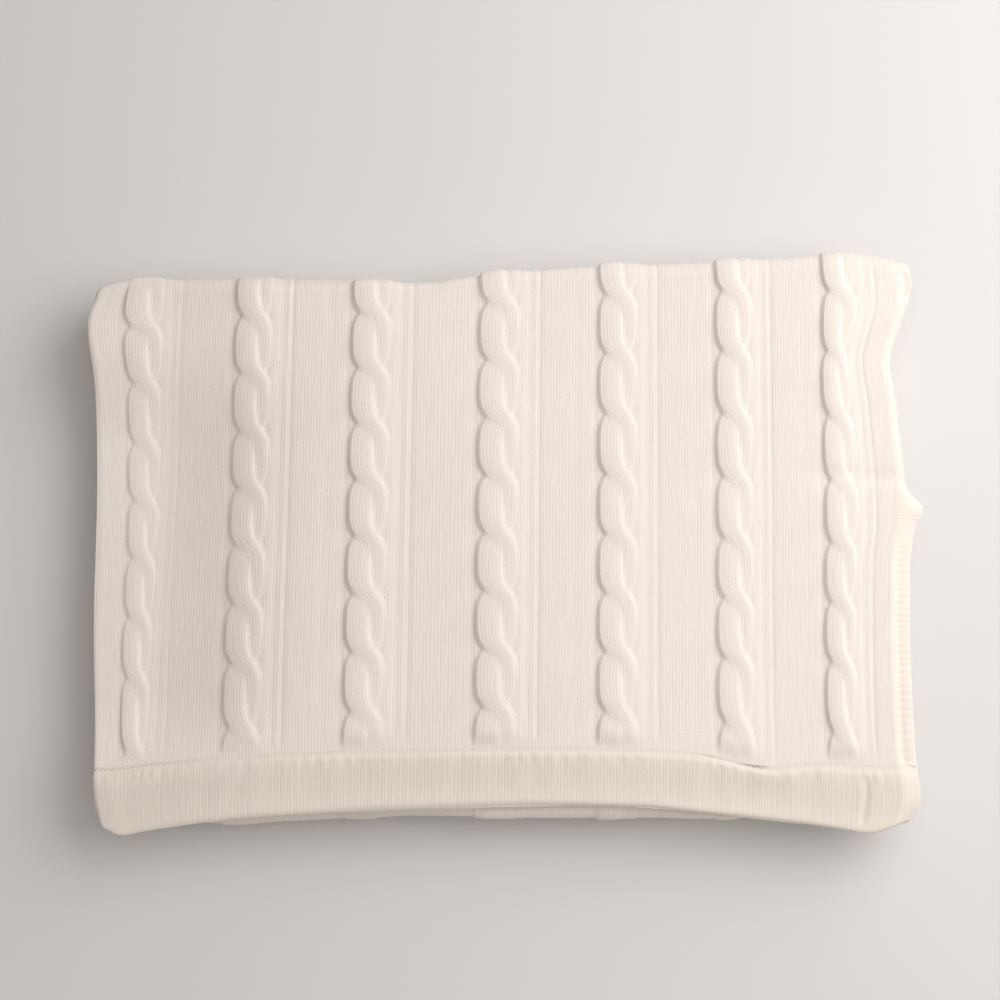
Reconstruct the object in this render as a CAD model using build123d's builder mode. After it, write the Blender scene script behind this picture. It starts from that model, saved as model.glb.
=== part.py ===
"""Folded cable-knit throw blanket.

The blanket is one knitted field with a ribbed hem band linked to each end and
a ribbed border picked up along each long edge.  It is folded in half across
its width, so every panel is two layers joined by a half fold on the left, and
then turned back and forth along its length into four panels on one pile.

Frame: +X to the right, towards the open bordered edges; +Y to the back, where
the top panel turns; +Z up.  The origin is the centre of the pile's footprint
on the surface it lies on.
"""
from build123d import *
from math import pi
import os

# Driving dimensions, millimetres
field_width = 750.0       # knitted field across its cables, laid flat
blanket_length = 1000.0   # along the cables, laid flat, with both hem bands
border_width = 10.0       # ribbed border along each long edge
hem_height = 27.0         # ribbed hem band at each end
seam_width = 1.6          # linking thread between a hem band and the field
layer_thickness = 4.6     # one layer of the knit with its cables pressed flat
layer_gap = 0.4           # air between two layers that lie on each other
end_overhang = 8.0        # how far the top end lies past the other panels
hinge_reach = 6.0         # from a panel's edge out to the line it turns about
hem_rounding = 1.2        # rounding of a hem band's outer edge
panel_count = 4

# One panel is two layers with a half fold on the left
layer_pitch = layer_thickness + layer_gap
panel_pitch = 2 * layer_pitch
panel_thickness = panel_pitch - layer_gap
half_fold_radius = panel_thickness / 2

# One turn carries both layers round half a circle
turn_radius = panel_pitch - layer_gap / 2
turn_arc = pi * (turn_radius + layer_gap / 2) / 2
turn_count = panel_count - 1

# Flat runs left over when the folds have taken their share
half_fold_arc = pi * (half_fold_radius + layer_gap / 2) / 2
flat_width = (field_width - half_fold_arc) / 2
flat_run = (blanket_length - end_overhang - turn_count * turn_arc) / panel_count

# Lines across the pile, left to right
pile_width = half_fold_radius + flat_width + border_width
fold_x = half_fold_radius - pile_width / 2
edge_x = fold_x + flat_width
border_x = edge_x + border_width

# Lines along the pile, back to front
back_y = flat_run / 2
front_y = -flat_run / 2

os.makedirs("parts", exist_ok=True)


def write_piece(piece, node):
    """Label a finished piece and write it as its own file."""
    piece.label = node
    export_step(piece, "parts/" + node + ".step")


def panel_base(panel):
    """Height of the underside of a panel, counted from 1 at the bottom."""
    return (panel - 1) * panel_pitch


def layer_base(panel, edge):
    """Height of the underside of the layer that carries border a or b.

    The turns swap the two layers, so the border that lies on top in the last
    panel lies underneath in the panel before it.
    """
    turns_to_top = panel_count - panel
    on_top = (edge == "a") == (turns_to_top % 2 == 0)
    return panel_base(panel) + (layer_pitch if on_top else 0)


def panel_front(panel):
    """Y of a panel's front end; only the top one reaches past the others."""
    return front_y - (end_overhang if panel == panel_count else 0)


def field_front(panel):
    """Y where the field ends in a panel, behind its seam if it has a hem."""
    has_hem = panel in (1, panel_count)
    return panel_front(panel) + (hem_height + seam_width if has_hem else 0)


def section_plane(y):
    """Upright plane across the pile at y, facing the front."""
    return Plane.XZ.offset(-y)


def hairpin_section(y, base, right_x):
    """Section at y of two layers joined by a half fold, open at right_x."""
    middle = base + half_fold_radius
    top = base + panel_thickness
    lower_top = base + layer_thickness
    upper_bottom = base + layer_pitch
    with BuildSketch(section_plane(y)) as section:
        with BuildLine():
            Polyline((fold_x, base), (right_x, base), (right_x, lower_top), (fold_x, lower_top))
            ThreePointArc(
                (fold_x, lower_top),
                (fold_x - layer_gap / 2, middle),
                (fold_x, upper_bottom),
            )
            Polyline((fold_x, upper_bottom), (right_x, upper_bottom), (right_x, top), (fold_x, top))
            ThreePointArc((fold_x, top), (fold_x - half_fold_radius, middle), (fold_x, base))
        make_face()
    return section.sketch


def border_section(y, base):
    """Section at y of the border of a single layer."""
    with BuildSketch(section_plane(y)) as section:
        with Locations(((edge_x + border_x) / 2, base + layer_thickness / 2)):
            Rectangle(border_width, layer_thickness)
    return section.sketch


def turn_axis(turn):
    """Line a turn is bent about: odd turns at the back, even at the front."""
    height = panel_base(turn + 1) - layer_gap / 2
    if turn % 2:
        return Axis((0, back_y, height), (1, 0, 0))
    return Axis((0, front_y, height), (-1, 0, 0))


def make_field_panel(panel):
    """The flat part of the field in one panel."""
    section = hairpin_section(back_y, panel_base(panel), edge_x)
    with BuildPart() as field_panel:
        extrude(section, amount=back_y - field_front(panel))
    write_piece(field_panel.part, f"field_panel_{panel}")


def make_field_turn(turn):
    """The field where it turns from one panel to the next above."""
    axis = turn_axis(turn)
    section = hairpin_section(axis.position.Y, panel_base(turn), edge_x)
    with BuildPart() as field_turn:
        revolve(section, axis=axis, revolution_arc=180)
    write_piece(field_turn.part, f"field_turn_{turn}")


def make_hem(panel, end):
    """The hem band across one end and the thread that links it on."""
    hem_back = panel_front(panel) + hem_height
    section = hairpin_section(hem_back, panel_base(panel), border_x)
    with BuildPart() as hem_band:
        extrude(section, amount=hem_height)
        outer_face = hem_band.faces().group_by(Axis.Y)[0]
        fillet(outer_face.edges().filter_by(Axis.X), radius=hem_rounding)
    write_piece(hem_band.part, f"hem_band_{end}")

    section = hairpin_section(hem_back + seam_width, panel_base(panel), border_x)
    with BuildPart() as hem_seam:
        extrude(section, amount=seam_width)
    write_piece(hem_seam.part, f"hem_seam_{end}")


def make_border_panel(panel, edge):
    """The flat part of one border in one panel."""
    section = border_section(back_y, layer_base(panel, edge))
    with BuildPart() as border_panel:
        extrude(section, amount=back_y - field_front(panel))
    write_piece(border_panel.part, f"border_{edge}_panel_{panel}")


def make_border_turn(turn, edge):
    """One border where it turns from one panel to the next above."""
    axis = turn_axis(turn)
    section = border_section(axis.position.Y, layer_base(turn, edge))
    with BuildPart() as border_turn:
        revolve(section, axis=axis, revolution_arc=180)
    write_piece(border_turn.part, f"border_{edge}_turn_{turn}")


for panel in range(1, panel_count + 1):
    make_field_panel(panel)
    for edge in "ab":
        make_border_panel(panel, edge)

for turn in range(1, turn_count + 1):
    make_field_turn(turn)
    for edge in "ab":
        make_border_turn(turn, edge)

make_hem(1, "start")
make_hem(panel_count, "end")

pile_depth = flat_run + 2 * turn_radius
pile_height = panel_base(panel_count + 1) - layer_gap
print("pile", round(pile_width, 2), round(pile_depth, 2), round(pile_height, 2))
for turn in range(1, turn_count + 1):
    axis = turn_axis(turn)
    side = 1 if turn % 2 else -1
    print("joint", turn, "y", round(axis.position.Y + side * hinge_reach, 3), "z", round(axis.position.Z, 3))
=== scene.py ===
"""Cable-knit throw blanket, folded into a pile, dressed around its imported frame.

Every piece of knit is a thin closed surface: a section across the pile, carried
along the blanket's length.  A point of it is found in three steps:

1. across the pile, the section is a hairpin: two layers joined by the half
   fold on the left;
2. along the blanket, a panel carries the section straight to the front, and a
   turn carries it round half a circle into the next panel;
3. the settling of the soft pile then moves every point a little, by one smooth
   field in space, so that neighbouring pieces stay joined.

The relief of the knit is a height over the hairpin: cables, the gutters beside
them and the ribs of hems and borders.  Lengths are metres.
"""

from types import SimpleNamespace

import bpy
import numpy as np
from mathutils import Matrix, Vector


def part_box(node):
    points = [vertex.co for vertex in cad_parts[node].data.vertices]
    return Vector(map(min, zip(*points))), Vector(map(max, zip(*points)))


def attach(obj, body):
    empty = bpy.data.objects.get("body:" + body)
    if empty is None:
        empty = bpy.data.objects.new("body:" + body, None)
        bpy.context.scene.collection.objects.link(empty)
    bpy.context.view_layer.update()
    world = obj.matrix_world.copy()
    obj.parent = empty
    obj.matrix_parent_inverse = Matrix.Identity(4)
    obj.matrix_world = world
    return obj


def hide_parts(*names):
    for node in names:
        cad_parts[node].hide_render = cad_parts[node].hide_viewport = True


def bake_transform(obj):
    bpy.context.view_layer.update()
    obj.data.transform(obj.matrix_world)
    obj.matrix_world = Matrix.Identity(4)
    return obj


bl_info = {
    "name": "Folded Cable Throw",
    "version": (1, 0, 0),
    "blender": (4, 5, 0),
    "location": "3D View > Sidebar > Throw",
    "description": "Knits a folded cable throw around its frame",
    "category": "Object",
}

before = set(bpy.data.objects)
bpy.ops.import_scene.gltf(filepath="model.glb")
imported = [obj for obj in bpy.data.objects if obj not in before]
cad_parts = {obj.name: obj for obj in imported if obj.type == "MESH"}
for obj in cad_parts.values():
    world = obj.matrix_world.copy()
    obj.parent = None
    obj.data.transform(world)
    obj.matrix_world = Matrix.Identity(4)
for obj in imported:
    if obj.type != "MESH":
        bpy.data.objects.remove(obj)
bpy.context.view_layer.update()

MM = 0.001
PANELS = 4
TURNS = PANELS - 1


def read_pile():
    """Places of the folded pile's lines, taken from the frame's nodes."""
    pile = SimpleNamespace()
    field_low, field_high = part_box("field_panel_4")
    hem_low, hem_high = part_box("hem_band_end")
    border_low, border_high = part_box("border_a_panel_4")
    inner_low, inner_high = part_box("field_panel_2")
    pile.half = (field_high.z - field_low.z) / 2
    pile.fold_x = field_low.x + pile.half
    pile.edge_x = field_high.x
    pile.border_x = border_high.x
    pile.back_y = inner_high.y
    pile.front_y = inner_low.y
    pile.end_y = hem_low.y
    pile.seam_y = hem_high.y
    pile.field_end_y = field_low.y
    pile.field_start_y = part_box("field_panel_1")[0].y
    boxes = [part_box(f"field_panel_{panel}") for panel in range(1, PANELS + 1)]
    pile.middle = [(low.z + high.z) / 2 for low, high in boxes]
    pile.pitch = pile.middle[1] - pile.middle[0]
    pile.top = field_high.z
    pile.bend = pile.half / 2 * np.pi / 2
    pile.edge_c = pile.edge_x - pile.fold_x + pile.bend
    pile.border = pile.border_x - pile.edge_x
    pile.hem = pile.seam_y - pile.end_y
    pile.seam = pile.field_end_y - pile.seam_y
    return pile


PILE = read_pile()


class ThrowSizes(bpy.types.PropertyGroup):
    """Sizes of the knit."""

    cable_count: bpy.props.IntProperty(
        name="Cables", description="Cables across one folded layer", default=7, min=1
    )
    twist_repeat: bpy.props.FloatProperty(
        name="Twist repeat", description="Length of one crossing of a cable",
        default=27.9 * MM, unit="LENGTH",
    )
    strand_swing: bpy.props.FloatProperty(
        name="Strand swing", description="How far a strand moves to each side of its cable",
        default=3.2 * MM, unit="LENGTH",
    )
    strand_width: bpy.props.FloatProperty(
        name="Strand width", description="Half the width of one strand",
        default=7.0 * MM, unit="LENGTH",
    )
    cable_height: bpy.props.FloatProperty(
        name="Cable height", description="Height of a cable over the plain knit",
        default=2.35 * MM, unit="LENGTH",
    )
    cloth: bpy.props.FloatProperty(
        name="Plain knit", description="Thickness of the plain knit between the cables",
        default=2.3 * MM, unit="LENGTH",
    )
    wale: bpy.props.FloatProperty(
        name="Stitch width", description="Width of one column of stitches",
        default=1.45 * MM, unit="LENGTH",
    )
    course: bpy.props.FloatProperty(
        name="Stitch height", description="Height of one row of stitches",
        default=1.2 * MM, unit="LENGTH",
    )
    rib: bpy.props.FloatProperty(
        name="Rib width", description="Width of one rib of the borders",
        default=2.9 * MM, unit="LENGTH",
    )


class ThrowColours(bpy.types.PropertyGroup):
    """Colours of the yarn."""

    yarn: bpy.props.FloatVectorProperty(
        name="Yarn", description="Colour of the cotton yarn",
        default=(0.885, 0.82, 0.768), subtype="COLOR", min=0, max=1,
    )
    # Painted shade: a darker, warmer copy of the yarn's colour, painted into the recesses between the
    # stitches; the random tone of fuzz, streaks and patches also mixes towards it
    yarn_painted_shade: bpy.props.FloatVectorProperty(
        name="Yarn shade", description="Colour between the stitches",
        default=(0.75, 0.64, 0.56), subtype="COLOR", min=0, max=1,
    )
    # Painted shade: the same yarn as the field, painted darker and warmer for the hems and borders, which
    # turn down away from the light
    rib_yarn_in_painted_shade: bpy.props.FloatVectorProperty(
        name="Rib yarn", description="Colour of the same yarn in the ribs, painted darker and warmer as shade",
        default=(0.865, 0.785, 0.715), subtype="COLOR", min=0, max=1,
    )
    # Painted shade: the linking thread is real, but its dark colour is painted shade of the gap in the seam
    # where it shows
    thread: bpy.props.FloatVectorProperty(
        name="Linking thread", description="Colour of the thread that links the hems on, painted dark as the shade in its seam",
        default=(0.74, 0.64, 0.56), subtype="COLOR", min=0, max=1,
    )
    floor: bpy.props.FloatVectorProperty(
        name="Floor", description="Colour of the floor",
        default=(0.74, 0.73, 0.72), subtype="COLOR", min=0, max=1,
    )


# ---------------------------------------------------------------- shape


def ease(t):
    """Smooth step: 0 before 0, 1 after 1, level at both."""
    t = np.clip(t, 0, 1)
    return t * t * (3 - 2 * t)


def hill(t):
    """Bell curve, 1 at 0 and 0.37 at 1."""
    return np.exp(-t * t)


def band(a, start, stop, soft):
    """1 between two places and 0 outside them, with ends that ease in over the length soft."""
    return ease((a - start) / soft) * ease((stop - a) / soft)


# The terms of settle() below.  Each gives how far it moves a point: dx, dy and dz in mm.  A number before a
# hill or an ease is how far that term moves the cloth; the numbers inside it say where it acts and over what
# length, in mm too.  Those inside a sine are radians per mm.


def place_in_pile(points):
    """Where points are in the pile, in mm, and how far each belongs to the top panel and its upper layer."""
    at = SimpleNamespace()
    at.x, at.y, at.z = points[..., 0] / MM, points[..., 1] / MM, points[..., 3] / MM
    at.left, at.right = (PILE.fold_x - PILE.half) / MM, PILE.edge_x / MM
    at.back, at.front, at.end = PILE.back_y / MM, PILE.front_y / MM, PILE.end_y / MM
    at.x_in = np.minimum(at.x, at.right)
    at.height = at.z / (PILE.top / MM)
    near_back = ease((at.y - at.back + 15) / 15)
    at.top_layer = ease((at.z - 34.5 + 9.5 * near_back) / (0.6 + 9.5 * near_back))
    at.top_panel = ease((at.z - 29.35) / 0.85)
    return at


def cable_drift(at):
    """The cables spread in the middle, are pulled about one by one, and lean to the left in front."""
    x_in = at.x_in
    inside = ease((x_in - at.left - 4) / 40)
    spread = 6.3 * np.sin(np.pi * x_in / -at.left)
    pulled = 1.6 * hill(x_in / 45) - 1.6 * hill((x_in - 165) / 30)
    pulled += 1.6 * hill((x_in + 5) / 24) - 2.7 * hill((x_in + 143) / 36)
    lean = ((1.3 - 0.019 * x_in) * inside + 0.013 * at.x) * at.y / at.back
    return spread + pulled + lean, 0, 0


def end_lines(at):
    """The back fold runs out to the right, and the front end droops towards both corners, most of all on top.

    The top hem's seam is drawn forward, most where its thread shows, and the
    layers beneath look out under the middle of the top hem.
    """
    x, y = at.x, at.y
    rise = np.clip((at.x_in + 31) / 214, 0, 1) ** 0.6
    back_line = (-1.2 + 11.6 * rise) * ease((y + 10) / 125)
    droop = -12.0 * np.clip((-50 - x) / 130, 0, 1) ** 1.4
    droop -= 11.5 * np.clip((x - 62) / 103, 0, 1) ** 1.1
    front_line = (-0.3 + droop) * ease((-55 - y) / 75) * (0.2 + 0.8 * at.top_panel)
    seam_line = -(2.0 + 4.5 * hill((x - 116) / 20)) * hill((y + 98) / 11) * at.top_panel
    middle = ease((150 - np.abs(x + 20)) / 50)
    looking_out = -4.6 * ease((-88 - y) / 30) * middle * (1 - at.top_panel)
    return 0, back_line + front_line + seam_line + looking_out, 0


def side_lines(at):
    """The left fold bulges near the back; the open edge wanders, and its border makes a small loop.

    The lower borders are drawn in under the top one.
    """
    x, y = at.x, at.y
    bulge = -4.8 * hill((y - 104) / 20) * ease((at.left + 40 - x) / 40) * at.height
    run = 1.5 * hill((y - 103) / 16) - 5.5 * hill((y - 77) / 15) - 2.5 * hill((y - 52) / 20)
    run -= 0.2 * ease((-y - 20) / 90) + 2.0 * ease((6 - y) / 20) - 2.2 * hill((y + 112) / 13)
    wander = run * ease((at.x_in - at.right + 45) / 45) * (0.3 + 0.7 * at.top_layer)
    loop = 3.5 * hill((y - 13.5) / 7) * ease((x - at.right) / 5) * at.top_panel
    drawn_in = -9.0 * ease((x - at.right + 28) / 36) * (1 - at.top_layer)
    return bulge + wander + loop + drawn_in, 0, 0


def corner_rounding(at):
    """All corners are pulled in, and the tips of three of them are rounded off on top of that."""
    x, y, left, right = at.x, at.y, at.left, at.right
    to_back = ease((y - at.back + 10) / 20)
    to_front = ease((at.front + 8 - y) / 24) * (0.3 + 0.7 * at.top_panel)
    to_left = ease((left + 22 - x) / 24)
    to_right = ease((x - right + 16) / 30)
    dx = (0.5 * to_left - 2.0 * to_right) * to_back + (1.5 * to_left - 4.0 * to_right) * to_front
    dy = (3.5 * to_left + 7.0 * to_right) * to_front - (2.5 * to_left + 4.0 * to_right) * to_back

    front_tip = np.clip((at.end + 22 - y) / 22, 0, 1) ** 1.5 * at.top_panel
    left_tip = front_tip * np.clip((left + 22 - x) / 22, 0, 1) ** 1.5
    right_tip = front_tip * np.clip((x - right + 14) / 22, 0, 1) ** 1.5
    back_tip = np.clip((y - at.back + 14) / 24, 0, 1) ** 1.5 * np.clip((left + 24 - x) / 24, 0, 1) ** 1.5
    dx = dx + 2.5 * left_tip - 1.6 * right_tip + 3.0 * back_tip
    dy = dy + 2.5 * left_tip + 1.6 * right_tip - 3.0 * back_tip
    return dx, dy, 0


def layer_wander(at):
    """Towards the pile's sides and ends, the edges of its layers don't lie quite over each other."""
    x, y, z = at.x, at.y, at.z
    to_side, to_end = np.abs(x / at.left) ** 3, np.abs(y / at.back) ** 3
    dx = 0.8 * np.sin(0.33 * z + 0.021 * y) + 0.5 * np.sin(0.052 * y + 0.2 * z)
    dy = 0.9 * np.sin(0.31 * z + 0.017 * x + 2) + 0.5 * np.sin(0.047 * x + 0.2 * z)
    return dx * to_side, dy * to_end, 0


def sag(at):
    """The cloth lies in low waves, fading out towards the surface beneath, and sinks where it isn't held up.

    It sinks most at the half fold, on top and through the pile's height, and a
    little at the tuck beside the border's loop and at the top hem.
    """
    x, y, z = at.x, at.y, at.z
    wave = 0.7 * np.sin(0.031 * x + 0.012 * y + 0.05 * z) + 0.6 * np.sin(0.043 * y - 0.017 * x + 1)
    tuck = -1.0 * hill((y - 26 + 0.03 * (x - 160)) / 4) * ease((x - 128) / 30)
    on_top = -4.5 * ease((-x - 92) / 80) * ease((z - 30) / 9)
    through = -9.0 * at.height * ease((-x - 80) / 80) * ease((96 - y) / 50) * ease((y + 108) / 35)
    nod = -4.0 * ease((-y - 98) / 26) * at.top_panel
    return 0, 0, at.height**2 * (wave + at.top_layer * tuck) + on_top + through + nod


SETTLING = (cable_drift, end_lines, side_lines, corner_rounding, layer_wander, sag)


def settle(points):
    """Moves points of the ideal pile to where the soft pile has settled, by the sum of the terms in SETTLING.

    A point is x, y, z and its height before any border hangs down, which is
    what tells the layers apart.  Every term is smooth in space.
    """
    at = place_in_pile(points)
    dx, dy, dz = (sum(moves) for moves in zip(*(term(at) for term in SETTLING)))
    return points[..., :3] + np.stack([dx, dy, dz], axis=-1) * MM


def section(c, h, curl):
    """Point of the section across the pile: (x, height over the panel's middle, and without curl).

    c runs along the section from the half fold, where it is 0: positive on the
    upper layer and negative on the lower.  h is the distance out from the
    hairpin's middle.  Within the half fold the point turns about the fold's
    centre; past the field's edge the border turns down through the angle curl,
    on a radius of CURL, and hangs straight from there.  The height without curl
    stays outside INNER_FACE, so that it always tells the two layers apart.
    """
    along = np.abs(c)
    angle = np.clip(along / PILE.bend, 0, 1) * np.pi / 2
    past = np.maximum(along - PILE.edge_c, 0)
    turned = np.minimum(past / CURL, curl)
    hanging = past - turned * CURL
    flat = np.clip(along - PILE.bend, 0, PILE.edge_c - PILE.bend)
    x = PILE.fold_x - h * np.cos(angle) + flat + (CURL + h) * np.sin(turned) + hanging * np.cos(turned)
    flat_level = np.maximum(h, INNER_FACE) * np.sin(angle)
    level = h * np.sin(angle) + (CURL + h) * (np.cos(turned) - 1) - hanging * np.sin(turned)
    return x, np.sign(c) * level, np.sign(c) * flat_level


def border_curl(y):
    """Angle through which the top layer's border hangs down: more at the back, little at its loop."""
    y = y / MM
    degrees = 40 - 16 * ease(-y / 110) + 56 * ease((y - 2) / 22) - 42 * hill((y - 13) / 7)
    degrees = degrees - 62 * ease((y - 90) / 28)
    return np.radians(degrees)


def cable_frame(x):
    """Distance from the nearest cable's middle, and that cable's number from the open edge."""
    sizes = bpy.context.scene.throw_sizes
    spacing = PILE.edge_c / sizes.cable_count
    number = np.clip(np.round((PILE.edge_x - x) / spacing - 0.5), 0, sizes.cable_count - 1)
    return x - (PILE.edge_x - (number + 0.5) * spacing), number


# How far along its twist each cable starts, and how quickly it turns, from the open edge to the half fold
TWIST_START = np.array([0.10, 0.03, 0.90, 0.81, 0.86, 0.08, 0.29])
TWIST_PACE = np.array([1.0, 1.0, 1.015, 1.03, 1.03, 1.01, 1.0])

STRAND_SQUARE = 1.7                    # how squared-off a strand's swing is
STRAND_LEVEL, STRAND_RISE = 0.74, 0.26  # a strand's mean height and its rise and fall, in cable heights
STRAND_LAG = 0.9                       # how much later it rises than it swings, in radians
STRAND_DOME = 0.35                     # how much lower its back is at its sides
FLANK_STEEP, FLANK_SOFT = 5.6, 1.8     # how fast its flanks rise, on the left and on the right


def strands(across, number, q):
    """Height and offset of a cable's two strands where they are looked at.

    Strand k swings across its cable as a squared-off cosine and rises and
    sinks a little later: psi = pi (q pace / repeat + start + k), middle =
    swing * squared-off cos psi, level = height * (level + rise * sin (psi -
    lag)).  Its back is domed, steep on the left and soft on the right.
    """
    sizes = bpy.context.scene.throw_sizes
    which = number.astype(int) % len(TWIST_START)
    turns = q * TWIST_PACE[which] / sizes.twist_repeat + TWIST_START[which]
    heights, offsets = [], []
    for strand in (0, 1):
        psi = np.pi * (turns + strand)
        swing = np.tanh(STRAND_SQUARE * np.cos(psi)) / np.tanh(STRAND_SQUARE)
        offset = (across - sizes.strand_swing * swing) / sizes.strand_width
        level = sizes.cable_height * (STRAND_LEVEL + STRAND_RISE * np.sin(psi - STRAND_LAG))
        flank = ease((1 - np.abs(offset)) * np.where(offset < 0, FLANK_STEEP, FLANK_SOFT))
        heights.append(level * (1 - STRAND_DOME * offset**2) * flank)
        offsets.append(offset * sizes.strand_width)
    return heights, offsets


def field_relief(x, q):
    """Height of the field over its plain knit.

    The larger of a cable's two strands stands up.  On its right the cable
    runs out softly into a valley, with a low ridge and a narrow gutter beyond;
    on its left a narrow valley and a faint groove run beside it.  Places and
    heights are in mm.
    """
    across, number = cable_frame(x)
    heights, _ = strands(across, number, q)
    cable = np.maximum(heights[0], heights[1])
    a = across / MM
    flank = 0.7 * hill((a - 7.8) / 4.5) * MM
    valley = -0.2 * hill((a + 11.0) / 1.4) - 0.15 * hill((a - 12.3) / 1.8)
    ridge = 0.08 * hill((a - 15.2) / 1.3) - 0.38 * hill((a - 17.0) / 0.7) - 0.15 * hill((a + 19.5) / 0.6)
    return np.maximum(cable, flank) + (valley + ridge) * MM


def knit_pattern(x, q):
    """Stitch coordinates, in stitches: across and along.

    Plain knit counts columns straight across the pile; on a cable the columns
    follow the strand that is on top.  x and q are the corners of faces, one
    face a row, and a face is all plain or all cable.
    """
    sizes = bpy.context.scene.throw_sizes
    across, number = cable_frame(x)
    heights, offsets = strands(across, number, q)
    first_on_top = (heights[0] >= heights[1]).mean(axis=-1, keepdims=True) > 0.5
    on_cable = np.maximum(*heights).mean(axis=-1, keepdims=True) > 0.3 * MM
    column = np.where(first_on_top, offsets[0], offsets[1])
    column = np.where(on_cable, column, x)
    return column / sizes.wale, q / sizes.course


def plain_pattern(x, q):
    """Stitch coordinates of plain knit, in stitches: across and along."""
    sizes = bpy.context.scene.throw_sizes
    return x / sizes.wale, q / sizes.course


def side_pattern(x, q):
    """Stitch coordinates of knit whose columns run across the pile."""
    sizes = bpy.context.scene.throw_sizes
    return q / sizes.wale, x / sizes.course


def yarn_length(panel, upper, y):
    """Place along the blanket of a point of a panel, from the end hem.

    Turns use up more cloth in the layer that goes outside, so the two layers
    are counted apart.
    """
    flat = PILE.back_y - PILE.front_y
    outer, inner = np.pi * 0.75 * PILE.pitch, np.pi * 0.25 * PILE.pitch
    turns = PANELS - panel
    outside_first = upper == (turns % 2 == 0)
    used = PILE.front_y - PILE.end_y + flat * turns
    for turn in range(turns):
        used += outer if outside_first == (turn % 2 == 0) else inner
    return used + (y - PILE.front_y if turns % 2 == 0 else PILE.back_y - y)


# ---------------------------------------------------------------- runs of cloth


INNER_FACE = 0.3 * MM    # from the hairpin's middle to the inside of a layer
CURL = 3.0 * MM          # radius on which the top layer's border turns down
PRESSED = 0.42           # relief left on the layers inside the pile
CRUSHED = 0.15           # relief left on a layer that goes round the inside of a turn
TURN_CRUSH = 22 * MM     # length over which that layer loses its relief
SEAM_CRUSH = 7 * MM      # length over which the cables run out towards a hem
TURN_LENGTH = 1.5 * MM   # from the hairpin's middle out to where a turn's flat length is measured
OUTER_REACH = 0.33       # share of the panels' pitch over which an outer turn bends, each way
INNER_REACH = 1.2 * MM   # the same for an inner turn
HAIRLINE = 0.06          # place of the extra cut at an end, as a share of the first step


def hairline(places):
    """Places with one more close to each end, so that the shading runs evenly up to an edge."""
    first, last = places[0], places[-1]
    after = first + HAIRLINE * (places[1] - first)
    before = last + HAIRLINE * (places[-2] - last)
    return np.concatenate([[first, after], places[1:-1], [before, last]])


def rows(start, stop, step):
    """Places from start to stop a step apart."""
    places = np.linspace(start, stop, max(2, int(round(abs(stop - start) / step)) + 1))
    return hairline(places)[:, None]


def panel_share(panel, upper, y):
    """Relief that a layer keeps along a panel: all of it on top, less near the inside of a turn."""
    base = 1.0 if panel == PANELS and upper else PRESSED
    share = np.full_like(y, base)
    ends = {PILE.back_y: panel if panel % 2 else panel - 1, PILE.front_y: panel - 1 if panel % 2 else panel}
    for end_y, turn in ends.items():
        if not 1 <= turn <= TURNS:
            continue
        outer = upper == (turn == panel - 1)
        if not outer:
            nearness = ease(1 - np.abs(y - end_y) / TURN_CRUSH)
            share = share + (CRUSHED - share) * nearness
    return share


def panel_run(panel, upper, back, front, step):
    """A layer's straight run along a panel, from its back to its front."""
    y = rows(back, front, step)
    side = 1 if upper else -1
    top = panel == PANELS and upper

    def place(c, h):
        x, level, flat_level = section(c * side, h, border_curl(y) if top else 0.0)
        middle = PILE.middle[panel - 1]
        return np.stack([x, y + 0 * x, middle + level, middle + flat_level], axis=-1)

    return SimpleNamespace(
        place=place,
        q=yarn_length(panel, upper, y),
        y=y,
        share=panel_share(panel, upper, y),
        length=abs(back - front),
    )


def turn_run(turn, outer, steps):
    """A layer's run round a turn, from the panel below to the one above.

    The section turns about a line halfway between the two panels, at their
    end: r = pitch / 2 - height over the lower panel's middle, and phi goes
    from 0 to pi.
    """
    phi = rows(0, np.pi, np.pi / steps)
    faces_back = turn % 2 == 1
    end_y = PILE.back_y if faces_back else PILE.front_y
    out = 1 if faces_back else -1
    axis_z = PILE.middle[turn - 1] + PILE.pitch / 2
    side = -1 if outer else 1
    to_top = turn == TURNS and outer

    def place(c, h):
        curl = border_curl(np.array(end_y)) * ease(phi / np.pi * 2.2 - 1.2) if to_top else 0.0
        x, level, flat_level = section(c, h, curl)
        radius = PILE.pitch / 2 - side * level
        z = axis_z - radius * np.cos(phi)
        flat_z = z + side * (level - flat_level) * -np.cos(phi)
        return np.stack([x, end_y + out * radius * np.sin(phi), z, flat_z], axis=-1)

    q_below = yarn_length(turn, not outer, end_y)
    q_above = yarn_length(turn + 1, outer, end_y)
    share_below = PRESSED if outer else CRUSHED
    share_above = 1.0 if to_top else share_below
    t = phi / np.pi
    return SimpleNamespace(
        place=place,
        q=q_below + (q_above - q_below) * t,
        y=end_y + 0 * phi,
        share=share_below + (share_above - share_below) * ease(t),
        length=np.pi * (PILE.pitch / 2 - side * TURN_LENGTH),
        axis_y=end_y,
        axis_z=axis_z,
        reach=PILE.pitch * OUTER_REACH if outer else INNER_REACH,
    )


# ---------------------------------------------------------------- mesh


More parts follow.
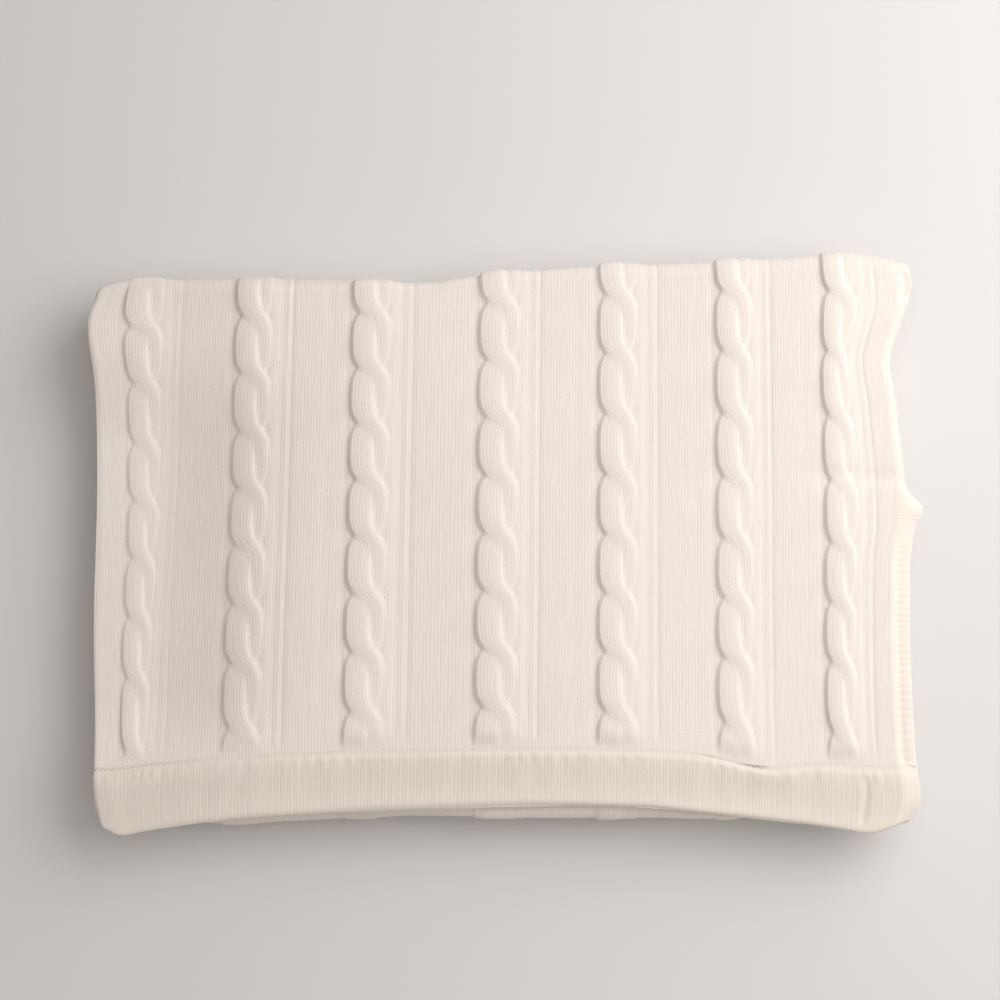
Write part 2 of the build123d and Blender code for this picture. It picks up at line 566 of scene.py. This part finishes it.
def knit_mesh(name, points, x, q, pattern, cuts, material):
    """Closed mesh from loops of points, shape (loops, points in a loop, 3).

    Each loop joins the next, and the first and last are capped.  x and q are
    the loops' places across and along the cloth, for the stitch pattern.  The
    strips in cuts, by their place in the loop, and the caps are flat.
    """
    points = settle(points)
    loops, count = points.shape[:2]
    x, q = np.broadcast_to(x, (loops, count)), np.broadcast_to(q, (loops, count))
    index = np.arange(loops * count).reshape(loops, count)
    ahead = np.roll(index, -1, axis=1)
    quads = np.stack([index[:-1], ahead[:-1], ahead[1:], index[1:]], axis=-1).reshape(-1, 4)
    flat_points = points.reshape(-1, 3)
    a, b, c = (flat_points[quads[:, i]] for i in range(3))
    inward = np.einsum("ij,ij->", np.cross(b - a, c - a), a - flat_points.mean(axis=0)) < 0
    caps = [index[0][::-1], index[-1]]
    if inward:
        quads = quads[:, ::-1]
        caps = [cap[::-1] for cap in caps]
    corners = np.concatenate([quads.ravel(), *caps])
    starts = np.concatenate([np.arange(len(quads)) * 4, [len(quads) * 4, len(quads) * 4 + count]])

    mesh = bpy.data.meshes.new(name)
    mesh.vertices.add(len(flat_points))
    mesh.vertices.foreach_set("co", flat_points.astype(np.float32).ravel())
    mesh.loops.add(len(corners))
    mesh.polygons.add(len(starts))
    mesh.polygons.foreach_set("loop_start", starts.astype(np.int32))
    mesh.polygons.foreach_set("vertices", corners.astype(np.int32))
    smooth = np.ones(len(starts), bool)
    strips = smooth[:-2].reshape(loops - 1, count)
    strips[:, list(cuts)] = False
    smooth[-2:] = False
    mesh.polygons.foreach_set("use_smooth", smooth)

    stitch = mesh.uv_layers.new(name="stitches")
    across, along = pattern(x.ravel()[quads], q.ravel()[quads])
    uv = np.zeros((len(corners), 2), np.float32)
    uv[: quads.size] = np.stack([across.ravel(), along.ravel()], axis=-1)
    stitch.data.foreach_set("uv", uv.ravel())
    mesh.update(calc_edges=True)
    mesh.validate()
    mesh.materials.append(material)
    piece = bpy.data.objects.new(name, mesh)
    bpy.context.scene.collection.objects.link(piece)
    return piece


def columns(start, stop, fine, coarse):
    """Places across the pile between two, close together on the cables and wider between them.

    The places are spaced by a density, which is highest on a cable's steep
    left flank: its running sum is cut into equal parts.
    """
    places = np.arange(start, stop, fine / 4)
    across, _ = cable_frame(places)
    near = band(across / MM, -14.5, 19.5, 1.5)
    steep = band(across / MM, -12.5, -4.5, 1.5)
    density = near / fine * (0.88 + 0.45 * steep) + (1 - near) / coarse
    count = np.concatenate([[0], np.cumsum(density[:-1] * fine / 4)])
    wanted = np.linspace(0, count[-1], int(np.ceil(count[-1])) + 1)
    found = np.interp(wanted, count, places)
    found[0], found[-1] = start, stop
    return found


def layer_columns(fine, coarse):
    """Distances along one layer's section, from the open edge to the half fold."""
    bend = np.linspace(0, PILE.bend, 9)[:-1]
    flat = columns(PILE.fold_x, PILE.edge_x, fine, coarse)
    return np.concatenate([bend, flat - PILE.fold_x + PILE.bend])[::-1]


def round_off(distance, radius):
    """Thickness, from 1 down to nearly 0, towards a free edge that is rounded."""
    inside = np.clip(1 - distance / radius, 0, 1)
    return np.sqrt(np.clip(1 - inside**2, 0.004, 1))


# ---------------------------------------------------------------- finishes


STITCH_BUMP = 0.2 * MM       # height of a stitch
STITCH_STRENGTH = 0.45       # how strongly the bump of the stitches shows
LEG_SLANT = 0.7              # rows that a stitch's leg slants over, from its column's middle to its side
LEG_DEPTH = 0.22             # how much the rows show within a column
FUZZ, FUZZ_TONE = 0.35, 0.35           # share of the yarn's fuzz in the height and in the tone
STREAKS, STREAKS_TONE = 1.6, 0.5       # the same for the streaks along the columns
PATCHES_TONE = 0.22                    # share of the large soft patches in the tone


def knit_material(name, colour, shade, ribs=0.0):
    """Cotton knit: V stitches in columns, worked out from the stitches UV.

    Across a column, t goes from 0 in its middle to 1 at its sides.  The two
    legs of a stitch slant down to the middle, so the row is read at v + slant
    times t; stitch = (1 - t^3) (1 - depth + depth times the sine of the row).
    The height adds fine noise as fuzz, and noise drawn out along the columns
    as streaks; ribs above 0 sinks every other column.  The tone between the
    painted shade and the colour follows the stitch, as painted shade in the
    recesses between the stitches, and the fuzz, the streaks and large
    patches, which vary it at random.
    """
    material = bpy.data.materials.get(name)
    if material:
        return material
    material = bpy.data.materials.new(name)
    material.use_nodes = True
    tree = material.node_tree
    nodes, links = tree.nodes, tree.links
    shader = nodes["Principled BSDF"]

    def math(operation, a, b=None, c=None):
        node = nodes.new("ShaderNodeMath")
        node.operation = operation
        for socket, value in zip(node.inputs, (a, b, c)):
            if value is None:
                continue
            if isinstance(value, (int, float)):
                socket.default_value = value
            else:
                links.new(value, socket)
        return node.outputs[0]

    def noise(scale, detail, source):
        node = nodes.new("ShaderNodeTexNoise")
        node.inputs["Scale"].default_value = scale
        node.inputs["Detail"].default_value = detail
        links.new(source, node.inputs["Vector"])
        return node.outputs["Fac"]

    stitches = nodes.new("ShaderNodeUVMap")
    stitches.uv_map = "stitches"
    place = nodes.new("ShaderNodeTexCoord").outputs["Object"]
    parts = nodes.new("ShaderNodeSeparateXYZ")
    links.new(stitches.outputs[0], parts.inputs[0])
    wander = math("MULTIPLY", math("SUBTRACT", noise(260, 2, place), 0.5), 0.35)
    u = math("ADD", parts.outputs[0], wander)
    v = parts.outputs[1]
    t = math("MULTIPLY", math("ABSOLUTE", math("SUBTRACT", math("FRACT", u), 0.5)), 2.0)
    row = math("MULTIPLY", math("ADD", v, math("MULTIPLY", t, LEG_SLANT)), 2 * np.pi)
    legs = math("MULTIPLY_ADD", math("SINE", row), LEG_DEPTH, 1 - LEG_DEPTH)
    dome = math("SUBTRACT", 1.0, math("POWER", t, 3.0))
    stitch = math("MULTIPLY", dome, legs)
    fuzz = noise(2400, 3, place)
    long_way = nodes.new("ShaderNodeCombineXYZ")
    links.new(parts.outputs[0], long_way.inputs[0])
    links.new(math("MULTIPLY", v, 0.09), long_way.inputs[1])
    streaks = math("SUBTRACT", noise(0.9, 3, long_way.outputs[0]), 0.5)
    height = math("MULTIPLY_ADD", fuzz, FUZZ, stitch)
    height = math("MULTIPLY_ADD", streaks, STREAKS, height)
    if ribs > 0:
        rib = math("SINE", math("MULTIPLY", parts.outputs[0], np.pi))
        height = math("MULTIPLY_ADD", rib, ribs, height)

    # Mix between the yarn's painted shade and its colour
    colours = nodes.new("ShaderNodeMix")
    colours.data_type = "RGBA"
    colours.inputs["A"].default_value = (*shade, 1)
    colours.inputs["B"].default_value = (*colour, 1)
    # Painted shade: the tone darkens towards the painted shade where the stitch sinks, between and round the
    # stitches
    tone = math("MULTIPLY_ADD", stitch, 0.20, 0.70)
    patches = math("MULTIPLY", math("SUBTRACT", noise(22, 2, place), 0.5), PATCHES_TONE)
    tone = math("ADD", tone, patches)
    tone = math("ADD", tone, math("MULTIPLY", math("SUBTRACT", fuzz, 0.5), FUZZ_TONE))
    tone = math("MULTIPLY_ADD", streaks, STREAKS_TONE, tone)
    limited = nodes.new("ShaderNodeClamp")
    links.new(tone, limited.inputs["Value"])
    links.new(limited.outputs[0], colours.inputs["Factor"])
    links.new(colours.outputs["Result"], shader.inputs["Base Color"])

    bumps = nodes.new("ShaderNodeBump")
    bumps.inputs["Strength"].default_value = STITCH_STRENGTH
    bumps.inputs["Distance"].default_value = STITCH_BUMP
    links.new(height, bumps.inputs["Height"])
    links.new(bumps.outputs[0], shader.inputs["Normal"])
    shader.inputs["Roughness"].default_value = 0.92
    shader.inputs["Specular IOR Level"].default_value = 0.25
    shader.inputs["Sheen Weight"].default_value = 0.25
    shader.inputs["Sheen Roughness"].default_value = 0.6
    return material


def field_material():
    """Cable knit of the field."""
    colours = bpy.context.scene.throw_colours
    return knit_material("cable_knit_cotton", colours.yarn, colours.yarn_painted_shade)


def rib_material():
    """Ribbed knit of the hems and borders."""
    colours = bpy.context.scene.throw_colours
    # The rib yarn is the field's yarn painted darker and warmer, as painted shade
    return knit_material("ribbed_knit_cotton", colours.rib_yarn_in_painted_shade, colours.yarn_painted_shade, ribs=0.10)


def thread_material():
    """Cotton thread: fine plies that run round it, from noise stretched along it."""
    material = bpy.data.materials.get("linking_thread_cotton")
    if material:
        return material
    colours = bpy.context.scene.throw_colours
    material = bpy.data.materials.new("linking_thread_cotton")
    material.use_nodes = True
    nodes, links = material.node_tree.nodes, material.node_tree.links
    shader = nodes["Principled BSDF"]
    place = nodes.new("ShaderNodeTexCoord")
    plies = nodes.new("ShaderNodeTexNoise")
    plies.inputs["Scale"].default_value = 1800
    links.new(place.outputs["Object"], plies.inputs["Vector"])
    ramp = nodes.new("ShaderNodeValToRGB")
    # The thread's dark colour is painted shade of the seam's gap; the plies vary it at random
    thread = np.array(colours.thread)
    ramp.color_ramp.elements[0].color = (*(thread * 0.8), 1)
    ramp.color_ramp.elements[1].color = (*np.minimum(thread * 1.15, 1), 1)
    links.new(plies.outputs["Fac"], ramp.inputs["Fac"])
    links.new(ramp.outputs["Color"], shader.inputs["Base Color"])
    bumps = nodes.new("ShaderNodeBump")
    bumps.inputs["Strength"].default_value = 0.5
    bumps.inputs["Distance"].default_value = 0.2 * MM
    links.new(plies.outputs["Fac"], bumps.inputs["Height"])
    links.new(bumps.outputs[0], shader.inputs["Normal"])
    shader.inputs["Roughness"].default_value = 0.85
    shader.inputs["Sheen Weight"].default_value = 0.2
    return material


# ---------------------------------------------------------------- pieces


TOP_CUTS = (0.8 * MM, 1.9 * MM, 1.05 * MM)      # on the top layer: across a cable, between cables, along it
UNDER_CUTS = (1.25 * MM, 2.6 * MM, 1.45 * MM)   # the same on the other layers
HEM_CUTS = (0.72 * MM, 0.85 * MM)               # on a hem: across and along
BORDER_CUT = 0.75 * MM                          # along a border
OUTER_STEPS, INNER_STEPS, BORDER_STEPS = 30, 16, 32     # steps round a turn
INNER_COLUMNS = 48       # cuts across the inside of a layer, which is plain
EDGE_POWER = 1.4         # how much closer the cuts lie together towards a rounded edge


def knit_ply(name, run, fine, coarse):
    """One layer of the field along a run, from the half fold to the open edge."""
    sizes = bpy.context.scene.throw_sizes
    outer_c = hairline(layer_columns(fine, coarse))
    inner_c = hairline(np.linspace(0, PILE.edge_c, INNER_COLUMNS))
    c = np.concatenate([outer_c, inner_c])
    x = PILE.fold_x - PILE.bend + c
    relief = field_relief(x[None, :], run.q) * run.share
    outside = np.arange(len(c)) < len(outer_c)
    h = np.where(outside, INNER_FACE + sizes.cloth + relief, INNER_FACE)
    points = run.place(np.maximum(c, 1e-9), h)
    cuts = [len(outer_c) - 1, len(c) - 1]
    return knit_mesh(name, points, x, run.q, knit_pattern, cuts, field_material())


def border_ply(name, run):
    """One layer's ribbed border along a run, from the field's edge to its own.

    s is the distance from the field's edge.  The border's free edge is
    rounded, its ribs run across it, and in front of its loop the top one
    (lower, between 0 behind and 1 in front) is hollow beside the field with a
    raised rim, and its ribs are deeper.
    """
    sizes = bpy.context.scene.throw_sizes
    width = PILE.border
    t = np.linspace(0, 1, 13)
    s = hairline(width * (1 - (1 - t) ** EDGE_POWER))
    s = np.concatenate([s, s[::-1]])
    outside = np.arange(len(s)) < len(s) / 2
    thick = round_off(width - s, 1.3 * MM)
    window = ease(s / (2.5 * MM)) * thick
    sm = s / MM
    lower = ease((4 - run.y / MM) / 14)
    hollow = lower * run.share * (0.5 * hill((sm - 8.3) / 1.8) - 1.4 * hill((sm - 2.8) / 1.8)) * MM
    rib = (0.05 + 0.11 * lower) * np.cos(2 * np.pi * run.q / sizes.rib) * MM
    half = sizes.cloth / 2
    middle = INNER_FACE + half + np.where(run.share > 0.9, hollow, 0)
    h = np.where(outside, middle + half * thick + rib * window, middle - half * thick)
    points = run.place(PILE.edge_c + s, h)
    return knit_mesh(name, points, s, run.q, side_pattern, [len(s) - 1], rib_material())


def hem_ply(name, run):
    """One layer of a hem band, with its seam's groove at the back.

    d is the distance from the free edge.  The band is thicker than the field,
    faintly ribbed along its columns, gathered a little towards the seam, and
    rounded off at the free edge and at the open side.  One crease runs across
    it near the open side.  The groove is deep only where the thread shows.
    """
    sizes = bpy.context.scene.throw_sizes
    hem_c = PILE.edge_c + PILE.border
    open_side = hem_c - PILE.border * (1 - np.linspace(0, 1, 16)) ** EDGE_POWER
    before_side = np.arange(0, hem_c - PILE.border - 0.2 * MM, HEM_CUTS[0])
    outer_c = np.concatenate([before_side, open_side])[::-1]
    inner_c = np.concatenate([np.linspace(0, PILE.edge_c, INNER_COLUMNS)[:-1], open_side])
    outer_c, inner_c = hairline(outer_c), hairline(inner_c)
    c = np.concatenate([outer_c, inner_c])
    outside = np.arange(len(c)) < len(outer_c)
    x = PILE.fold_x - PILE.bend + c
    d = run.y - run.y.min()
    seam_d = PILE.hem + PILE.seam / 2
    thick = round_off(hem_c - c, 1.4 * MM) * round_off(d, 3.2 * MM)
    at_seam = ease((d - seam_d + 3.2 * MM) / (2.4 * MM))
    half = sizes.cloth / 2
    middle = INNER_FACE + half
    xm, dm = x / MM, d / MM
    uneven = 0.5 + 0.5 * np.sin(xm / 23 + 2 * np.sin(xm / 9))
    rib = 0.03 * np.cos(np.pi * x / sizes.wale) + 0.6
    rib = rib + 0.10 * np.sin(xm / 2.9 + 1.4 * np.sin(xm / 17)) * ease(dm / 12)
    gather = (0.04 + 0.16 * uneven) * np.sin(xm / 1.1 + 2.5 * np.sin(xm / 13)) * ease((dm - 18) / 8)
    gap = 0.12 + 1.5 * band(xm, 84, 118, 8)
    groove = -0.8 * gap * hill((dm - seam_d / MM) / 0.75)
    crease = -0.55 * hill((xm - 164 - 0.12 * dm) / 1.7) * ease(dm / 8) * ease((26 - dm) / 4)
    raised = ((rib + gather) * (1 - at_seam) + groove + crease) * MM
    h = np.where(outside, middle + half * thick + raised * thick, middle - half * thick)
    points = run.place(np.maximum(c, 1e-9), h)
    return knit_mesh(name, points, x, run.q, plain_pattern, [len(outer_c) - 1], rib_material())


def finish_piece(node):
    """Hides the frame's node that a piece stands for."""
    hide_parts(node)


def layer_name(panel, upper):
    """Name of one of the field's flat layers."""
    return f"knit_panel_{panel}_{'upper' if upper else 'lower'}"


def layer_edge(panel, upper):
    """Which of the blanket's two long edges a layer carries; the turns swap them."""
    return "a" if upper == ((PANELS - panel) % 2 == 0) else "b"


def field_front(panel):
    """Where the field ends in a panel, behind its hem if it has one."""
    return {1: PILE.field_start_y, PANELS: PILE.field_end_y}.get(panel, PILE.front_y)


class THROW_OT_field(bpy.types.Operator):
    """Knit the eight layers of the field that lie flat"""

    bl_idname = "throw.field"
    bl_label = "Field"

    def execute(self, context):
        for panel in range(1, PANELS + 1):
            for upper in (False, True):
                top = panel == PANELS and upper
                fine, coarse, step = TOP_CUTS if top else UNDER_CUTS
                front = field_front(panel)
                run = panel_run(panel, upper, PILE.back_y, front, step)
                if front != PILE.front_y:
                    run.share = run.share * ease((run.y - front) / SEAM_CRUSH)
                piece = knit_ply(layer_name(panel, upper), run, fine, coarse)
                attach(piece, f"panel_{panel}")
                finish_piece(f"field_panel_{panel}")
        return {"FINISHED"}


def bend_round(piece):
    """Bakes the place of a piece of a turn, between the two panels that the turn joins, into its mesh."""
    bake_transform(piece)


class THROW_OT_turns(bpy.types.Operator):
    """Knit the field's three turns, each an outer and an inner layer"""

    bl_idname = "throw.turns"
    bl_label = "Turns"

    def execute(self, context):
        for turn in range(1, TURNS + 1):
            for outer in (True, False):
                place = "outer" if outer else "inner"
                fine, coarse, _ = TOP_CUTS if turn == TURNS and outer else UNDER_CUTS
                run = turn_run(turn, outer, OUTER_STEPS if outer else INNER_STEPS)
                piece = knit_ply(f"knit_turn_{turn}_{place}", run, fine, coarse)
                bend_round(piece)
                finish_piece(
                    f"field_turn_{turn}"
                )
        return {"FINISHED"}


class THROW_OT_hems(bpy.types.Operator):
    """Knit the ribbed hem bands at both ends, two layers each"""

    bl_idname = "throw.hems"
    bl_label = "Hem bands"

    def execute(self, context):
        for panel, end, front in ((1, "start", PILE.front_y), (PANELS, "end", PILE.end_y)):
            for upper in (False, True):
                run = panel_run(panel, upper, field_front(panel), front, HEM_CUTS[1])
                name = f"hem_{end}_{'upper' if upper else 'lower'}"
                piece = hem_ply(name, run)
                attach(piece, f"panel_{panel}")
                finish_piece(f"hem_band_{end}")
        return {"FINISHED"}


class THROW_OT_borders(bpy.types.Operator):
    """Knit the ribbed borders of both long edges"""

    bl_idname = "throw.borders"
    bl_label = "Borders"

    def execute(self, context):
        for panel in range(1, PANELS + 1):
            for upper in (False, True):
                edge = layer_edge(panel, upper)
                run = panel_run(panel, upper, PILE.back_y, field_front(panel), BORDER_CUT)
                piece = border_ply(f"border_{edge}_knit_{panel}", run)
                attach(piece, f"panel_{panel}")
                node = f"border_{edge}_panel_{panel}"
                finish_piece(node)
        for turn in range(1, TURNS + 1):
            for outer in (True, False):
                edge = layer_edge(turn, not outer)
                run = turn_run(turn, outer, BORDER_STEPS if outer else INNER_STEPS)
                piece = border_ply(f"border_{edge}_knit_turn_{turn}", run)
                bend_round(piece)
                node = f"border_{edge}_turn_{turn}"
                finish_piece(node)
        return {"FINISHED"}


THREAD_RADIUS = 0.4 * MM
THREAD_STEP = 0.62 * MM      # from one ring of the tube to the next
THREAD_REPEAT = 3.0 * MM     # length of one zigzag
THREAD_SWING = 0.55 * MM     # how far it swings to each side of the groove's middle
THREAD_DEPTH = 0.62 * MM     # how deep it lies below the plain knit's face
THREAD_RISE = 0.14 * MM      # how far it rises and sinks, twice in a zigzag
THREAD_END = 1.5 * MM        # from its end to the border's edge
THREAD_PROBE = 0.3 * MM      # how far out its upward direction is looked up
THREAD_SIDES = 6


def thread_tube(name, panel, y):
    """Linking thread in a hem's seam: a thin tube that zigzags across the groove.

    It runs along the upper layer, round the half fold and back along the lower
    layer.  Its middle is y + swing * sine of the place along it, and its circle
    stands square to the path.
    """
    sizes = bpy.context.scene.throw_sizes
    reach = PILE.edge_c + PILE.border - THREAD_END
    c = np.arange(reach, -reach, -THREAD_STEP)
    phase = 2 * np.pi * c / THREAD_REPEAT
    top = panel == PANELS
    curl = np.where(c > 0, border_curl(np.array(y)), 0.0) if top else 0.0

    def path(h):
        x, level, flat_level = section(c, h, curl)
        zigzag = y + THREAD_SWING * np.sin(phase)
        middle = PILE.middle[panel - 1]
        return settle(np.stack([x, zigzag, middle + level, middle + flat_level], axis=-1))

    h = INNER_FACE + sizes.cloth - THREAD_DEPTH + THREAD_RISE * np.cos(2 * phase)
    middle, above = path(h), path(h + THREAD_PROBE)
    ahead = np.gradient(middle, axis=0)
    ahead /= np.linalg.norm(ahead, axis=1, keepdims=True)
    up = above - middle
    up -= (up * ahead).sum(axis=1, keepdims=True) * ahead
    up /= np.linalg.norm(up, axis=1, keepdims=True)
    side = np.cross(ahead, up)
    angle = np.linspace(0, 2 * np.pi, THREAD_SIDES + 1)[:-1]
    rings = middle[:, None] + THREAD_RADIUS * (
        np.cos(angle)[:, None] * up[:, None] + np.sin(angle)[:, None] * side[:, None]
    )
    return tube_mesh(name, rings)


def tube_mesh(name, rings):
    """Closed tube through rings of points, shape (rings, points in a ring, 3)."""
    count, sides = rings.shape[:2]
    index = np.arange(count * sides).reshape(count, sides)
    ahead = np.roll(index, -1, axis=1)
    quads = np.stack([index[:-1], index[1:], ahead[1:], ahead[:-1]], axis=-1).reshape(-1, 4)
    faces = quads.tolist() + [index[0].tolist(), index[-1][::-1].tolist()]
    mesh = bpy.data.meshes.new(name)
    mesh.from_pydata(rings.reshape(-1, 3).tolist(), [], faces)
    mesh.polygons.foreach_set("use_smooth", np.ones(len(faces), bool))
    mesh.update()
    mesh.materials.append(thread_material())
    piece = bpy.data.objects.new(name, mesh)
    bpy.context.scene.collection.objects.link(piece)
    return piece


class THROW_OT_threads(bpy.types.Operator):
    """Stitch the hem bands on with their linking threads"""

    bl_idname = "throw.threads"
    bl_label = "Linking threads"

    def execute(self, context):
        for panel, end in ((1, "start"), (PANELS, "end")):
            y = field_front(panel) - PILE.seam / 2
            piece = thread_tube(f"linking_thread_{end}", panel, y)
            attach(piece, f"panel_{panel}")
            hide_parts(f"hem_seam_{end}")
        return {"FINISHED"}


class THROW_OT_stage(bpy.types.Operator):
    """Set the floor, the lights and the camera"""

    bl_idname = "throw.stage"
    bl_label = "Stage"

    def execute(self, context):
        make_floor()
        make_light("key", (0.60, 0.26, 0.58), 1.0, 6.7)
        make_light("fill", (0.45, -0.05, 1.25), 1.6, 4.6)
        # Keeps the pale yarn as pale as its colours say
        context.scene.view_settings.view_transform = "Standard"
        make_world()
        make_camera()
        return {"FINISHED"}


def make_floor():
    """A square of pale floor under the pile."""
    half = 3.0
    mesh = bpy.data.meshes.new("floor")
    corners = [(-half, -half, 0), (half, -half, 0), (half, half, 0), (-half, half, 0)]
    mesh.from_pydata(corners, [], [(0, 1, 2, 3)])
    floor = bpy.data.objects.new("floor", mesh)
    bpy.context.scene.collection.objects.link(floor)
    material = bpy.data.materials.new("studio_floor")
    material.use_nodes = True
    shader = material.node_tree.nodes["Principled BSDF"]
    shader.inputs["Base Color"].default_value = (*bpy.context.scene.throw_colours.floor, 1)
    shader.inputs["Roughness"].default_value = 0.8
    mesh.materials.append(material)


def aim(thing, target):
    """Turns a camera or light towards a point."""
    direction = Vector(target) - thing.location
    thing.rotation_euler = direction.to_track_quat("-Z", "Y").to_euler()


def make_light(name, place, size, power):
    """A square soft light, nearly white, aimed at the pile."""
    light = bpy.data.lights.new(name, "AREA")
    light.size = size
    light.energy = power
    light.color = (1.0, 0.99, 0.985)
    lamp = bpy.data.objects.new(name, light)
    lamp.location = place
    bpy.context.scene.collection.objects.link(lamp)
    aim(lamp, (0.1, 0, PILE.top))


def make_world():
    """Even pale light from all round."""
    world = bpy.data.worlds.new("studio")
    world.use_nodes = True
    background = world.node_tree.nodes["Background"]
    background.inputs["Color"].default_value = (1.0, 0.955, 0.91, 1)
    background.inputs["Strength"].default_value = 0.36
    bpy.context.scene.world = world


def make_camera():
    """Looks down from the front, ten degrees off the vertical."""
    camera = bpy.data.cameras.new("camera")
    camera.lens = 100
    camera.sensor_width = 36
    viewer = bpy.data.objects.new("camera", camera)
    elevation = np.radians(80)
    distance = 1.296
    target = Vector((-1.6 * MM, 16.4 * MM, PILE.top))
    viewer.location = target + distance * Vector((0, -np.cos(elevation), np.sin(elevation)))
    bpy.context.scene.collection.objects.link(viewer)
    aim(viewer, target)
    bpy.context.scene.camera = viewer


class THROW_PT_panel(bpy.types.Panel):
    """Sizes, colours and steps of the throw"""

    bl_label = "Throw"
    bl_space_type = "VIEW_3D"
    bl_region_type = "UI"
    bl_category = "Throw"

    def draw(self, context):
        for group in (context.scene.throw_sizes, context.scene.throw_colours):
            for name in group.__annotations__:
                self.layout.prop(group, name)
        for step in STEPS:
            self.layout.operator(step.bl_idname)


STEPS = (
    THROW_OT_stage,
    THROW_OT_field,
    THROW_OT_turns,
    THROW_OT_hems,
    THROW_OT_borders,
    THROW_OT_threads,
)
CLASSES = (ThrowSizes, ThrowColours, *STEPS, THROW_PT_panel)


def register():
    for part in CLASSES:
        bpy.utils.register_class(part)
    bpy.types.Scene.throw_sizes = bpy.props.PointerProperty(type=ThrowSizes)
    bpy.types.Scene.throw_colours = bpy.props.PointerProperty(type=ThrowColours)


def unregister():
    del bpy.types.Scene.throw_colours
    del bpy.types.Scene.throw_sizes
    for part in reversed(CLASSES):
        bpy.utils.unregister_class(part)


def main():
    register()
    bpy.ops.throw.stage()
    bpy.ops.throw.field()
    bpy.ops.throw.turns()
    bpy.ops.throw.hems()
    bpy.ops.throw.borders()
    bpy.ops.throw.threads()


if __name__ == "__main__":
    main()
